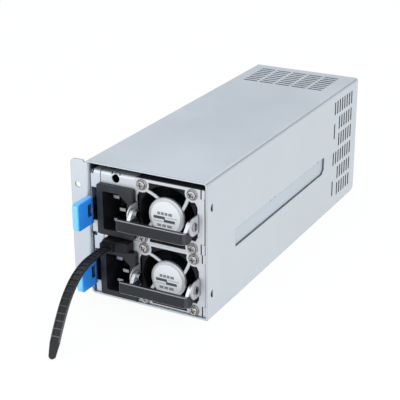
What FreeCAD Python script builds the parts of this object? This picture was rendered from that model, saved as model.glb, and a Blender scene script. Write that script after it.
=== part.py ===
import FreeCAD, Part
import math
import os
from FreeCAD import Vector

# A 1+1 redundant power supply: a sheet-metal cage that holds two equal hot swap modules,
# one above the other. Millimetres. While it is modelled, x runs from the outer face of the
# cage's left wall, y runs back from the cage's front edge and z runs up from its bottom
# face. On export the origin moves to the middle of the bottom face.

# ---- cage ----
cage_depth = 223.0
cage_sheet = 1.0
cage_bend = 2.2
ear_reach = 11.0
ear_foot = 3.0
ear_corner = 3.0
ear_hole_radius = 1.8
ear_hole_spacing = 51.4
ear_hole_inset = 6.5
rear_space = 35.0
head_room = 3.2

# ---- module, measured on its front plate ----
floor_clearance = 0.2
stack_gap = 0.4
left_clearance = 0.9
right_clearance = 0.3
plate_sheet = 0.7
case_sheet = 0.6
plate_bend = 1.4
top_bend = 2.0
flange_depth = 7.0
seam_gap = 0.3
lower_set_back = 1.2
slide_clearance = 0.3

# ---- fan and its guard ----
fan_size = 36.0
fan_depth = 28.0
fan_side_room = 5.4
fan_wall = 0.9
fan_screw_inset = 2.25
fan_screw_radius = 1.25
screw_head_radius = 3.1
screw_head_height = 2.0
screw_head_chamfer = 1.0
fan_screw_length = 10.0
blade_count = 7
blade_clearance = 0.5
hub_radius = 8.0
guard_disc_radius = 11.0
guard_round = 2.8
guard_side = 0.9
guard_inset = 0.4
guard_boss_radius = 4.6
guard_corner = 1.2
spoke_width = 2.1
spoke_lead = 20.0
disc_lift = 1.4
label_radius = 9.2

# ---- appliance inlet ----
inlet_inset = 5.5
inlet_rim_left = 4.2
inlet_rim_right = 3.8
inlet_rim_z = 3.75
inlet_foot = 0.6
inlet_lip = 3.0
inlet_ledge = 2.2
inlet_body_depth = 18.5
inlet_wall = 2.0
socket_width = 16.0
socket_height = 22.9
socket_chamfer_x = 5.5
socket_chamfer_z = 4.6
pin_width = 4.0
pin_thickness = 2.0
pin_pitch = 7.0
pin_recess = 2.6

# ---- bail handle ----
handle_thickness = 2.4
handle_height = 6.9
handle_front = 13.4
handle_left = 26.2
handle_drop = 1.5
handle_corner = 3.4
handle_chamfer = 0.4
pivot_reach = 5.0
pivot_radius = 1.25
ear_radius = 5.3
ear_gap = 0.3
arm_thickness = 2.0
running_clearance = 0.05

# ---- release latch ----
tab_reach = 17.2
tab_thickness = 4.2
tab_height = 16.4
tab_foot = 5.9
tab_back = 1.5
tab_pocket_depth = 3.4
tab_pocket_length = 3.8
tab_pocket_height = 7.6
tab_pocket_back = 3.6
tab_pocket_foot = 5.3
latch_strip = 0.6
latch_pivot_depth = 24.0
latch_pin_radius = 1.0

# ---- boards ----
board_thickness = 1.6
board_height = 5.0
board_tongue = 9.5
tongue_width = 48.0
connector_depth = 12.4
connector_height = 9.0

# ---- cable outlet in the rear panel ----
cable_hole_z = 22.0
bushing_bore = 9.0
bushing_neck = 10.2
bushing_length = 8.0
bushing_lip = 1.6

# ---- cage vents and side window ----
vent_pitch = 4.25
vent_width = 1.9
top_vent_length = 9.8
top_vent_columns = 5
top_vent_rows = 8
side_vent_length = 8.8
side_vent_pitch = 11.96
side_vent_rows = 6
side_vent_slots = 8
window_front = 34.6
window_length = 131.3
window_height = 11.0

# ---- cable retention strap ----
strap_width = 5.6
strap_thickness = 1.2
strap_heading = 9.3
strap_start = (15.6, -7.3)
strap_route = [
    (0.0, 34.6),
    (12.0, 36.1),
    (25.5, 36.7),
    (38.0, 34.0),
    (49.2, 27.2),
    (57.8, 17.5),
    (64.8, 7.5),
    (68.6, 0.7),
]

# ---- places that follow from the sizes above ----
case_bottom = plate_sheet
case_front = top_bend + 0.1
module_height = case_bottom + fan_size + 0.1 + case_sheet + plate_sheet
case_top = module_height - plate_sheet
cage_height = 2 * (cage_sheet + module_height) + floor_clearance + stack_gap + head_room
inner_left = cage_sheet
inner_top = cage_height - cage_sheet
lower_base = cage_sheet + floor_clearance
upper_base = lower_base + module_height + stack_gap
case_left = inner_left + left_clearance
inlet_left = case_left + inlet_inset
inlet_right = inlet_left + inlet_rim_left + socket_width + inlet_rim_right
inlet_height = socket_height + 2 * inlet_rim_z
inlet_mid_z = inlet_foot + inlet_height / 2
socket_left = inlet_left + inlet_rim_left
guard_reach = fan_size / 2 + guard_round
guard_half_width = fan_size / 2 + guard_side
guard_half_height = fan_size / 2 - guard_inset
ear_left_x = inlet_right + ear_gap
fan_x = ear_left_x + plate_sheet + guard_half_width
ear_right_x = fan_x + guard_half_width
fan_z = case_bottom + fan_size / 2
fan_front = plate_sheet
screw_offset = fan_size / 2 - fan_screw_inset
plate_right = fan_x + fan_size / 2 + fan_side_room
case_right = plate_right - plate_sheet
inner_right = plate_right + right_clearance
cage_width = inner_right + cage_sheet
seam_x = case_left + 6.9
backplane_front = cage_depth - rear_space - board_thickness
case_back = backplane_front - connector_depth - slide_clearance - lower_set_back - 0.4
board_start = fan_front + fan_depth + 2.3
tie_hole_x = case_left + 17.0
tie_hole_radius = 2.4
tie_hole_z = module_height - 3.2
pivot_z = fan_z - 0.4
latch_x = case_left + 1.0
latch_pivot_x = latch_x + latch_pin_radius + 0.9


# ---------------------------------------------------------------- helpers

def box(x0, x1, y0, y1, z0, z1):
    """A block between two corners, in either order."""
    low = Vector(min(x0, x1), min(y0, y1), min(z0, z1))
    return Part.makeBox(abs(x1 - x0), abs(y1 - y0), abs(z1 - z0), low)


def rod(centre, direction, radius, length):
    """A cylinder from a centre point along a direction."""
    return Part.makeCylinder(radius, length, Vector(*centre), Vector(*direction))


def rod_x(x0, x1, y, z, radius):
    return rod((x0, y, z), (1, 0, 0), radius, x1 - x0)


def rod_y(y0, y1, x, z, radius):
    return rod((x, y0, z), (0, 1, 0), radius, y1 - y0)


def rod_z(z0, z1, x, y, radius):
    return rod((x, y, z0), (0, 0, 1), radius, z1 - z0)


def in_plane(plane, a, b, level):
    """A point of a drawing plane, as a point in space."""
    if plane == "xz":
        return Vector(a, level, b)
    if plane == "yz":
        return Vector(level, a, b)
    return Vector(a, b, level)


def rounded_edges(corners, closed, to_space):
    """Edges through the corners; a corner's third number is the radius that rounds it."""
    count = len(corners)
    bends = []
    for i, corner in enumerate(corners):
        here = Vector(corner[0], corner[1], 0)
        radius = corner[2] if len(corner) > 2 else 0
        if radius == 0:
            bends.append((here, here, here))
            continue
        before = Vector(corners[i - 1][0], corners[i - 1][1], 0)
        after = Vector(corners[(i + 1) % count][0], corners[(i + 1) % count][1], 0)
        back = (before - here).normalize()
        ahead = (after - here).normalize()
        half = back.getAngle(ahead) / 2
        reach = radius / math.tan(half)
        middle = (back + ahead).normalize() * (radius / math.sin(half) - radius)
        bends.append((here + back * reach, here + middle, here + ahead * reach))
    edges = []
    for i, (start, middle, end) in enumerate(bends):
        if (start - end).Length > 1e-6:
            points = [to_space(p.x, p.y) for p in (start, middle, end)]
            edges.append(Part.Arc(*points).toShape())
        if i == count - 1 and not closed:
            break
        following = bends[(i + 1) % count][0]
        if (following - end).Length > 1e-6:
            run = Part.LineSegment(to_space(end.x, end.y), to_space(following.x, following.y))
            edges.append(run.toShape())
    return edges


def outline(corners, plane, level):
    """A closed wire through the corners, in a drawing plane."""
    return Part.Wire(rounded_edges(corners, True, lambda a, b: in_plane(plane, a, b, level)))


def prism(corners, plane, start, end):
    """The outline's face, pushed from one level of its plane to another."""
    face = Part.Face(outline(corners, plane, start))
    return face.extrude(in_plane(plane, 0, 0, end - start))


def frame_prism(a0, a1, b0, b1, radius, plane, start, end):
    """A rectangle with four equal rounded corners, pushed between two levels."""
    corners = [(a0, b0, radius), (a1, b0, radius), (a1, b1, radius), (a0, b1, radius)]
    return prism(corners, plane, start, end)


def union(shapes):
    """One solid out of touching shapes, with the seams between flat faces removed."""
    result = shapes[0].multiFuse(shapes[1:]) if len(shapes) > 1 else shapes[0]
    return result.removeSplitter()


def group(shapes):
    return Part.makeCompound(shapes)


# ---------------------------------------------------------------- cage

def side_vents():
    """Vertical slots in the right wall; two rows are full and the rest start later."""
    slots = []
    first_y = cage_depth - 41.5
    first_z = 7.2
    short_rows = (0, 1, 3, 4)
    for row in range(side_vent_rows):
        z0 = first_z + row * side_vent_pitch
        for column in range(side_vent_slots):
            if row in short_rows and column < 2:
                continue
            y0 = first_y + column * vent_pitch
            slots.append((y0, z0, side_vent_length))
    slots.append((first_y, first_z + 1.7, side_vent_length + 1.6))
    slots.append((first_y, first_z + 3.59 * side_vent_pitch, side_vent_length + 1.6))
    x0 = inner_right - 1
    x1 = cage_width + 1
    return [box(x0, x1, y0, y0 + vent_width, z0, z0 + high) for y0, z0, high in slots]


def top_vents():
    """Slots across the rear of the top, in columns."""
    slots = []
    pitch_x = top_vent_length + 2.1
    left = (cage_width - top_vent_columns * pitch_x) / 2 - 1.0
    first_y = cage_depth - 39.3
    for column in range(top_vent_columns):
        x0 = left + column * pitch_x
        for row in range(top_vent_rows):
            y0 = first_y + row * vent_pitch
            slot = box(x0, x0 + top_vent_length, y0, y0 + vent_width, inner_top - 1, cage_height + 1)
            slots.append(slot)
    return slots


def half_moon(y, z):
    """A lanced half-round opening in the right wall."""
    disc = rod_x(inner_right - 1, cage_width + 1, y, z, 2.3)
    rear = box(inner_right - 1, cage_width + 1, y, y + 5, z - 5, z + 5)
    return disc.cut(rear)


def side_window():
    """The long window beside the middle rail, with one cut corner and small notches."""
    back = window_front + window_length
    foot = upper_base - window_height + 2.6
    top = foot + window_height
    opening = [
        (window_front, foot, 0.8),
        (back - 3.2, foot),
        (back, foot + 2.4),
        (back, top, 0.8),
        (window_front, top, 0.8),
    ]
    window = prism(opening, "yz", inner_right - 1, cage_width + 1)
    notches = [window_front + 46.0, window_front + 52.0, window_front + 119.0]
    cuts = [box(inner_right - 1, cage_width + 1, y, y + 1.6, top - 1, top + 0.7) for y in notches]
    return [window] + cuts


def cage_cover():
    """Top and right wall, folded from one sheet."""
    section = [
        (0, inner_top),
        (0, cage_height),
        (cage_width, cage_height, cage_bend),
        (cage_width, 0),
        (inner_right, 0),
        (inner_right, inner_top, cage_bend - cage_sheet),
    ]
    sheet = prism(section, "xz", 0, cage_depth)
    rear_corner = box(inner_right - 1, cage_width + 1, cage_depth - 4, cage_depth + 1, -1, 4)
    rear_corner = rear_corner.cut(rod_x(inner_right - 2, cage_width + 2, cage_depth - 4, 4, 4))
    dimples = [half_moon(6.6, lower_base + 13.2), half_moon(6.6, upper_base + 26.4)]
    return sheet.cut(side_vents() + top_vents() + side_window() + dimples + [rear_corner])


def cage_base():
    """Bottom, left wall and the mounting ear that turns out of the wall's front edge."""
    section = [
        (0, inner_top),
        (0, 0, cage_bend),
        (inner_right, 0),
        (inner_right, cage_sheet),
        (cage_sheet, cage_sheet, cage_bend - cage_sheet),
        (cage_sheet, inner_top),
    ]
    tray = prism(section, "xz", 0, cage_depth)
    ear_start = box(-1, cage_sheet + 1, -1, cage_bend, ear_foot, cage_height)
    fold = [
        (-cage_bend, 0),
        (cage_sheet, 0, cage_bend),
        (cage_sheet, cage_bend + 1),
        (0, cage_bend + 1),
        (0, cage_sheet, cage_bend - cage_sheet),
        (-cage_bend, cage_sheet),
    ]
    ear_fold = prism(fold, "xy", ear_foot, inner_top)
    blade = [
        (-ear_reach, ear_foot, ear_corner),
        (-cage_bend, ear_foot),
        (-cage_bend, cage_height),
        (-ear_reach, cage_height, ear_corner),
    ]
    ear = prism(blade, "xz", 0, cage_sheet)
    holes = []
    for side in (-1, 1):
        z = cage_height / 2 + side * ear_hole_spacing / 2
        holes.append(rod_y(-1, cage_sheet + 1, -ear_hole_inset, z, ear_hole_radius))
    shape = union([tray.cut(ear_start), ear_fold, ear])
    return shape.cut(holes + latch_windows())


def latch_windows():
    """Slots in the left wall that face the two latch hooks."""
    cuts = []
    for front, base in module_seats():
        z = base + tab_foot + tab_height / 2
        y = front + latch_pivot_depth - 14
        cuts.append(box(-1, cage_sheet + 1, y - 2.5, y + 2.5, z - 3.6, z + 3.6))
    return cuts


def cage_rear():
    """Rear panel with a round cable hole and a field of slots."""
    corner = cage_bend - cage_sheet + 0.1
    corners = [
        (inner_left, cage_sheet, corner),
        (inner_right, cage_sheet),
        (inner_right, inner_top, corner),
        (inner_left, inner_top),
    ]
    panel = prism(corners, "xz", cage_depth - cage_sheet, cage_depth)
    hole = rod_y(cage_depth - 2, cage_depth + 1, cage_width / 2, cable_hole_z, bushing_neck)
    cuts = [hole]
    slots_across = 12
    pitch = (inner_right - inner_left - 10) / slots_across
    for row in range(2):
        z0 = cable_hole_z + 18 + row * 16
        for column in range(slots_across):
            x0 = inner_left + 6 + column * pitch
            cuts.append(box(x0, x0 + vent_width, cage_depth - 2, cage_depth + 1, z0, z0 + 13))
    return panel.cut(cuts)


def cable_bushing():
    """Snap-in bushing that lines the cable hole."""
    x = cage_width / 2
    inner_face = cage_depth - cage_sheet
    outer_end = cage_depth + bushing_lip
    inner_end = outer_end - bushing_length
    neck = rod_y(inner_end, outer_end, x, cable_hole_z, bushing_neck)
    lip = rod_y(cage_depth, outer_end, x, cable_hole_z, bushing_neck + 2.4)
    snap = rod_y(inner_face - 2.5, inner_face, x, cable_hole_z, bushing_neck + 0.8)
    body = union([neck, lip, snap])
    return body.cut(rod_y(inner_end - 1, outer_end + 1, x, cable_hole_z, bushing_bore))


def middle_rails():
    """Two angles between the modules: a flange on the wall and a shelf."""
    rail_sheet = 0.6
    shelf_top = upper_base + case_bottom - slide_clearance
    shelf_reach = 5.5
    back = window_front + window_length + 4
    rails = []
    for wall, inward in ((inner_left, 1), (inner_right, -1)):
        flange = box(wall, wall + inward * rail_sheet, 12, back, shelf_top - 9.2, shelf_top + 3.6)
        shelf = box(wall, wall + inward * shelf_reach, 12, back, shelf_top - rail_sheet, shelf_top)
        rails.append(union([flange, shelf]))
    return group(rails)


def floor_guides():
    """Two strips that carry the lower module."""
    top = lower_base + case_bottom - slide_clearance
    back = window_front + window_length + 4
    left = box(inner_left + 1.4, inner_left + 7, 12, back, cage_sheet, top)
    right = box(inner_right - 7, inner_right - 1.4, 12, back, cage_sheet, top)
    return group([left, right])


# ---------------------------------------------------------------- backplane

def module_seats():
    """Front plane and base height of the upper and the lower module."""
    return [(0.0, upper_base), (lower_set_back, lower_base)]


board_screw_x = 3.4


def board_screw_places():
    low = cage_sheet + 12
    high = inner_top - 12
    edge = board_screw_x
    return [(x, z) for x in (inner_left + edge, inner_right - edge) for z in (low, high)]


def backplane_board():
    board = box(inner_left + 0.8, inner_right - 0.8, backplane_front,
                backplane_front + board_thickness, cage_sheet + 1.5, inner_top - 2)
    return board.cut([rod_y(backplane_front - 1, backplane_front + 3, x, z, 1.6)
                      for x, z in board_screw_places()])


def backplane_brackets():
    """Angles on both walls that the backplane is screwed to."""
    bracket_sheet = 0.8
    front = backplane_front - bracket_sheet
    brackets = []
    for wall, inward in ((inner_left, 1), (inner_right, -1)):
        flange = box(wall, wall + inward * bracket_sheet, front - 8, backplane_front,
                     cage_sheet + 6, inner_top - 6)
        face = box(wall, wall + inward * 7.5, front, backplane_front,
                   cage_sheet + 6, inner_top - 6)
        brackets.append(union([flange, face]))
    holes = [rod_y(front - 1, backplane_front + 1, x, z, 1.5) for x, z in board_screw_places()]
    return group([bracket.cut(holes) for bracket in brackets])


def board_screws():
    back = backplane_front + board_thickness
    screws = []
    for x, z in board_screw_places():
        head = rod_y(back, back + 1.6, x, z, 2.8)
        shank = rod_y(back - 5.4, back, x, z, 1.5 - running_clearance)
        screws.append(union([head, shank]))
    return group(screws)


def tongue_centre():
    return (case_left + case_right) / 2


def backplane_connectors():
    """Card-edge sockets that the two module boards plug into."""
    bodies = []
    x = tongue_centre()
    half = tongue_width / 2
    front = backplane_front - connector_depth
    for seat_front, base in module_seats():
        z = base + board_height + board_thickness / 2
        body = frame_prism(x - half - 3, x + half + 3, z - connector_height / 2,
                           z + connector_height / 2, 0.8, "xz", front, backplane_front)
        slot = box(x - half - 0.2, x + half + 0.2, front - 1, backplane_front - 1.6,
                   z - board_thickness / 2 - 0.1, z + board_thickness / 2 + 0.1)
        bodies.append(body.cut(slot))
    return group(bodies)


def output_headers():
    """Shrouded output headers on the rear of the backplane."""
    back = backplane_front + board_thickness
    headers = []
    for z, pairs in ((cable_hole_z, 8), (cable_hole_z + 16, 8), (cable_hole_z + 32, 4)):
        pitch = 4.2
        half = pairs * pitch / 2
        x = cage_width / 2
        shroud = box(x - half - 1, x + half + 1, back, back + 9.6, z - 4.8, z + 4.8)
        pocket = box(x - half, x + half, back + 1.4, back + 11, z - 3.8, z + 3.8)
        pieces = [shroud.cut(pocket)]
        for i in range(pairs):
            px = x - half + (i + 0.5) * pitch
            for pz in (z - 2.1, z + 2.1):
                pieces.append(box(px - 0.55, px + 0.55, back + 1, back + 8, pz - 0.55, pz + 0.55))
        headers.append(union(pieces))
    return group(headers)


# ---------------------------------------------------------------- module: sheet metal

def screw_places():
    return [(fan_x + sx * screw_offset, fan_z + sz * screw_offset)
            for sx in (-1, 1) for sz in (-1, 1)]


def guard_spoke(angle):
    """A slightly bowed strip from the guard's disc to the boss round a screw."""
    boss_distance = screw_offset * math.sqrt(2)
    lead = math.radians(spoke_lead)
    start = (guard_disc_radius - 1.5, angle - lead)
    middle = ((guard_disc_radius + boss_distance) / 2 - 1.5, angle - lead * 0.3)
    end = (boss_distance - 2.5, angle + lead * 0.1)
    half = spoke_width / 2

    def place(polar, shift):
        radius, turn = polar
        x = fan_x + radius * math.cos(turn) - shift * math.sin(turn)
        z = fan_z + radius * math.sin(turn) + shift * math.cos(turn)
        return Vector(x, 0, z)

    near = [place(p, -half) for p in (start, middle, end)]
    far = [place(p, half) for p in (end, middle, start)]
    edges = [
        Part.Arc(*near).toShape(),
        Part.LineSegment(near[2], far[0]).toShape(),
        Part.Arc(*far).toShape(),
        Part.LineSegment(far[2], near[0]).toShape(),
    ]
    face = Part.Face(Part.Wire(edges))
    return face.extrude(Vector(0, plate_sheet, 0))


def guard_opening():
    """What is punched out of the front plate before the fan: openings with soft corners."""
    round_part = rod_y(0, plate_sheet, fan_x, fan_z, guard_reach)
    limit = box(fan_x - guard_half_width, fan_x + guard_half_width, -1, plate_sheet + 1,
                fan_z - guard_half_height, fan_z + guard_half_height)
    hole = round_part.common(limit)
    keep = [rod_y(0, plate_sheet, x, z, guard_boss_radius) for x, z in screw_places()]
    keep.append(rod_y(0, plate_sheet, fan_x, fan_z, guard_disc_radius))
    keep += [guard_spoke(math.radians(45 + 90 * i)) for i in range(4)]
    openings = []
    for opening in hole.cut(keep).Solids:
        corners = [e for e in opening.Edges if is_outer_corner(e)]
        openings.append(opening.makeFillet(guard_corner, corners) if corners else opening)
    return group(openings)


def is_outer_corner(edge):
    """Whether an edge runs through the plate on the top or bottom side of the guard's limit."""
    place = edge.BoundBox
    through = place.XLength + place.ZLength < 0.01
    return through and abs(abs(place.ZMin - fan_z) - guard_half_height) < 0.01


def top_flange(left, right):
    """The fold along the top of the front, from one place across it to another."""
    foot = module_height - top_bend
    fold = [
        (0, foot),
        (0, module_height, top_bend),
        (flange_depth, module_height),
        (flange_depth, module_height - plate_sheet),
        (plate_sheet, module_height - plate_sheet, top_bend - plate_sheet),
        (plate_sheet, foot),
    ]
    return prism(fold, "yz", left, right)


def handle_ear(x):
    """A tab turned out of the plate beside the fan opening, with the pivot hole."""
    z0 = pivot_z - ear_radius
    z1 = pivot_z + ear_radius
    round_end = ear_radius - 0.01
    front = -pivot_reach - ear_radius
    corners = [(plate_sheet, z0), (front, z0, round_end), (front, z1, round_end), (plate_sheet, z1)]
    tab = prism(corners, "yz", x, x + plate_sheet)
    return tab.cut(rod_x(x - 1, x + 2, -pivot_reach, pivot_z, pivot_radius))


def front_plate():
    """Front plate right of the seam: fan guard, handle ears and folded edges."""
    left = seam_x + seam_gap
    relief = 5.3
    fold_start = plate_right - plate_bend - 0.7
    flat = box(left, plate_right, 0, plate_sheet, 0, module_height)
    fold_gap = box(fold_start, plate_right + 1, -1, plate_sheet + 1, relief + 1, module_height - relief)
    side_fold = [
        (fold_start, 0),
        (plate_right, 0, plate_bend),
        (plate_right, flange_depth),
        (plate_right - plate_sheet, flange_depth),
        (plate_right - plate_sheet, plate_sheet, plate_bend - plate_sheet),
        (fold_start, plate_sheet),
    ]
    side_flange = prism(side_fold, "xy", relief + 1, module_height - relief)
    flange_end = ear_left_x
    top_gap = box(left - 1, flange_end, -1, plate_sheet + 1, module_height - top_bend, module_height + 1)
    reliefs = [
        box(fold_start - 0.5, fold_start + 0.1, -1, 2, module_height - relief, module_height + 1),
        box(fold_start - 0.5, fold_start + 0.1, -1, 2, -1, relief + 1),
    ]
    hole = guard_opening()
    disc = rod_y(-disc_lift, 0, fan_x, fan_z, guard_disc_radius)
    disc = disc.makeChamfer(0.6, [e for e in disc.Edges if e.BoundBox.YMax < -disc_lift / 2])
    hollow = rod_y(-disc_lift + plate_sheet, plate_sheet + 1, fan_x, fan_z,
                   guard_disc_radius - plate_sheet)
    inlet_gap = inlet_cutout(0.1)
    tie_hole = rod_y(-1, 2, tie_hole_x, tie_hole_z, tie_hole_radius)
    screw_holes = [rod_y(-1, 2, x, z, fan_screw_radius + 0.3) for x, z in screw_places()]
    sheet = flat.cut([fold_gap, top_gap, hole, inlet_gap, tie_hole] + reliefs + screw_holes)
    flange = top_flange(left, flange_end).cut(catch_slots() + [tie_hole])
    shape = union([sheet, side_flange, flange, disc])
    shape = union([shape.cut(hollow), handle_ear(ear_left_x), handle_ear(ear_right_x)])
    return shape


def catch_slots():
    """The slit round a small catch in the top bend, and a notch in the flange's rear edge."""
    half = tie_hole_radius + 0.5
    slit = 0.6
    foot = module_height - 1.0
    back = top_bend
    left = tie_hole_x - half
    right = tie_hole_x + half
    cuts = [box(x, x + slit, -1, back, foot, module_height + 1) for x in (left, right - slit)]
    cuts.append(box(left, right, back - slit, back, foot, module_height + 1))
    cuts.append(box(tie_hole_x - 7.5, tie_hole_x - 3.9, flange_depth - 1.2, flange_depth + 1,
                    module_height - 2, module_height + 1))
    return cuts


def inlet_cutout(gap):
    """The plate's hole round the inlet's body."""
    edge = inlet_ledge - gap
    return box(inlet_left + edge, inlet_right - edge, -1, plate_sheet + 1,
               inlet_foot + edge, inlet_foot + inlet_height - edge)


def case_base():
    """Tray: floor, two walls, a slotted rear wall and the plate's left strip."""
    wall_top = case_top - case_sheet
    back = case_back
    section = [
        (case_left, wall_top),
        (case_left, case_bottom, 1.0),
        (case_right, case_bottom, 1.0),
        (case_right, wall_top),
        (case_right - case_sheet, wall_top),
        (case_right - case_sheet, case_bottom + case_sheet, 0.4),
        (case_left + case_sheet, case_bottom + case_sheet, 0.4),
        (case_left + case_sheet, wall_top),
    ]
    tray = prism(section, "xz", case_front, back)
    fold = [
        (seam_x, 0),
        (case_left, 0, 1.0),
        (case_left, plate_sheet + 2),
        (case_left + case_sheet, plate_sheet + 2),
        (case_left + case_sheet, plate_sheet, 0.4),
        (seam_x, plate_sheet),
    ]
    strip = prism(fold, "xy", 0, module_height - top_bend)
    strip_corner = box(case_left - 1, case_left + 2.4, -1, plate_sheet + 3,
                       module_height - top_bend - 0.5, module_height + 1)
    strip_flange = top_flange(case_left + 2.4, seam_x)
    fan_bay = box(fan_x - fan_size / 2 - 0.1, fan_x + fan_size / 2 + 0.1, plate_sheet - 1,
                  fan_front + fan_depth + 0.2, case_bottom - 1, case_bottom + case_sheet + 1)
    slot_foot = tab_foot + 1.4
    slot_top = tab_foot + tab_height + 5.0
    latch_slot = box(latch_x - 0.3, latch_x + 3.1, -1, plate_sheet + 1, slot_foot, slot_top)
    hook_y = latch_pivot_depth - 14
    hook_z = tab_foot + tab_height / 2
    hook_gap = box(case_left - 1, case_left + case_sheet + 0.5, hook_y - 3, hook_y + 3,
                   hook_z - 3.4, hook_z + 3.4)
    rear = box(case_left + case_sheet, case_right - case_sheet, back - case_sheet, back,
               case_bottom + case_sheet, wall_top)
    x = tongue_centre()
    tongue_gap = box(x - tongue_width / 2 - 1, x + tongue_width / 2 + 1, back - 2, back + 1,
                     board_height - 1.5, board_height + board_thickness + 1.5)
    rear_cuts = [tongue_gap]
    columns = 9
    pitch = (case_right - case_left - 8) / columns
    for column in range(columns):
        x0 = case_left + 5 + column * pitch
        z0 = board_height + 7
        rear_cuts.append(box(x0, x0 + 3.2, back - 2, back + 1, z0, z0 + 20))
    bosses = [rod_z(case_bottom + case_sheet, board_height, x, y, 2.2)
              for x, y in board_post_places()]
    inlet_gap = inlet_cutout(0.1)
    shape = union([tray, strip.cut(strip_corner), strip_flange, rear.cut(rear_cuts)] + bosses)
    return shape.cut([fan_bay, latch_slot, hook_gap, inlet_gap])


def board_post_places():
    return [(x, y) for x in (case_left + 7, case_right - 7) for y in (40, case_back - 12)]


def case_cover():
    """Lid of the case, with short flanges inside the walls."""
    lid = box(case_left, case_right, case_front, case_back, case_top - case_sheet, case_top)
    flanges = []
    for x, inward in ((case_left + case_sheet, 1), (case_right - case_sheet, -1)):
        flanges.append(box(x, x + inward * case_sheet, fan_front + fan_depth + 4, case_back - 4,
                           case_top - case_sheet - 5, case_top - case_sheet))
    return union([lid] + flanges)


# ---------------------------------------------------------------- module: inlet

def socket_outline():
    right = socket_left + socket_width
    low = inlet_mid_z - socket_height / 2
    high = inlet_mid_z + socket_height / 2
    return [
        (socket_left, low, 1.2),
        (right - socket_chamfer_x, low, 1.2),
        (right, low + socket_chamfer_z, 1.2),
        (right, high - socket_chamfer_z, 1.2),
        (right - socket_chamfer_x, high, 1.2),
        (socket_left, high, 1.2),
    ]


def pin_places():
    line = socket_left + 5.7
    return [
        (line, inlet_mid_z - pin_pitch),
        (line + 4.0, inlet_mid_z),
        (line, inlet_mid_z + pin_pitch),
    ]


def inlet_body():
    """Moulded inlet: a lip on the plate and a socket body behind it."""
    lip = frame_prism(inlet_left, inlet_right, inlet_foot, inlet_foot + inlet_height, 1.4,
                      "xz", -inlet_lip, 0)
    front_edges = [e for e in lip.Edges if e.BoundBox.YMax < -inlet_lip + 0.01]
    lip = lip.makeChamfer(0.5, front_edges)
    shell = frame_prism(inlet_left + inlet_ledge, inlet_right - inlet_ledge, inlet_foot + inlet_ledge,
                        inlet_foot + inlet_height - inlet_ledge, 1.0, "xz", 0, inlet_body_depth)
    cavity = prism(socket_outline(), "xz", -inlet_lip - 1, inlet_body_depth - inlet_wall)
    holes = [blade(x, z, inlet_body_depth - inlet_wall - 1, inlet_body_depth + 1)
             for x, z in pin_places()]
    return union([lip, shell]).cut([cavity] + holes)


def blade(x, z, y0, y1):
    half = pin_width / 2
    return frame_prism(x - half, x + half, z - pin_thickness / 2, z + pin_thickness / 2, 0.3,
                       "xz", y0, y1)


def inlet_pins():
    """Three contact blades with their solder tails."""
    pins = []
    for x, z in pin_places():
        contact = blade(x, z, pin_recess, inlet_body_depth + 0.8)
        tail = box(x - 1.6, x + 1.6, inlet_body_depth, inlet_body_depth + 5, z - 0.4, z + 0.4)
        pins.append(union([contact, tail]))
    return group(pins)


# ---------------------------------------------------------------- module: fan

def fan_frame():
    """Square fan housing with a motor seat on four struts at the rear."""
    half = fan_size / 2
    back = fan_front + fan_depth
    body = frame_prism(fan_x - half, fan_x + half, fan_z - half, fan_z + half, 2.0,
                       "xz", fan_front, back)
    duct = rod_y(fan_front - 1, back + 1, fan_x, fan_z, half - fan_wall)
    holes = [rod_y(fan_front - 1, back + 1, x, z, fan_screw_radius + running_clearance)
             for x, z in screw_places()]
    seat = rod_y(back - 3, back, fan_x, fan_z, hub_radius + 0.4)
    struts = []
    for i in range(4):
        strut = box(fan_x, fan_x + half - fan_wall / 2, back - 3, back, fan_z - 1, fan_z + 1)
        strut.rotate(Vector(fan_x, 0, fan_z), Vector(0, 1, 0), 90 * i + 22)
        struts.append(strut)
    post = rod_y(back - 7, back - 3, fan_x, fan_z, 2.4)
    pocket = rod_y(back - 8, back - 4, fan_x, fan_z, 1.0 + running_clearance)
    return union([body.cut([duct] + holes), seat, post] + struts).cut(pocket)


def blade_section(radius, pitch_degrees, chord, bow):
    """One aerofoil-like wire, tangent to the circle of a radius."""
    thickness = 0.9
    pitch = math.radians(pitch_degrees)
    middle_y = fan_front + 11.5

    def point(along, across):
        y = middle_y + along * math.sin(pitch) + across * math.cos(pitch)
        x = fan_x + along * math.cos(pitch) - across * math.sin(pitch)
        return Vector(x, y, fan_z + radius)

    nose = point(-chord / 2, 0)
    upper = point(0, bow + thickness / 2)
    tail = point(chord / 2, 0)
    lower = point(0, bow - thickness / 2)
    return Part.Wire([Part.Arc(nose, upper, tail).toShape(), Part.Arc(tail, lower, nose).toShape()])


def fan_rotor():
    """Hub, short shaft and bowed, twisted blades."""
    back = fan_front + fan_depth
    tip = fan_size / 2 - fan_wall - blade_clearance
    cup = rod_y(fan_front + 2, back - 3.5, fan_x, fan_z, hub_radius)
    nose_edges = [e for e in cup.Edges if e.BoundBox.YMax < fan_front + 2.5]
    cup = cup.makeChamfer(0.9, nose_edges)
    hollow = rod_y(fan_front + 5, back, fan_x, fan_z, hub_radius - 1.4)
    shaft = rod_y(fan_front + 4, back - 4.4, fan_x, fan_z, 1.0)
    root = blade_section(hub_radius - 0.9, 52, 9.6, 1.2)
    outer = blade_section(tip - 0.25, 38, 12.5, 1.8)
    wing = Part.makeLoft([root, outer], True, True)
    wings = []
    for i in range(blade_count):
        copy = wing.copy()
        copy.rotate(Vector(fan_x, 0, fan_z), Vector(0, 1, 0), 360 * i / blade_count)
        wings.append(copy)
    return union([cup.cut(hollow), shaft] + [w.cut(hollow) for w in wings])


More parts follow.
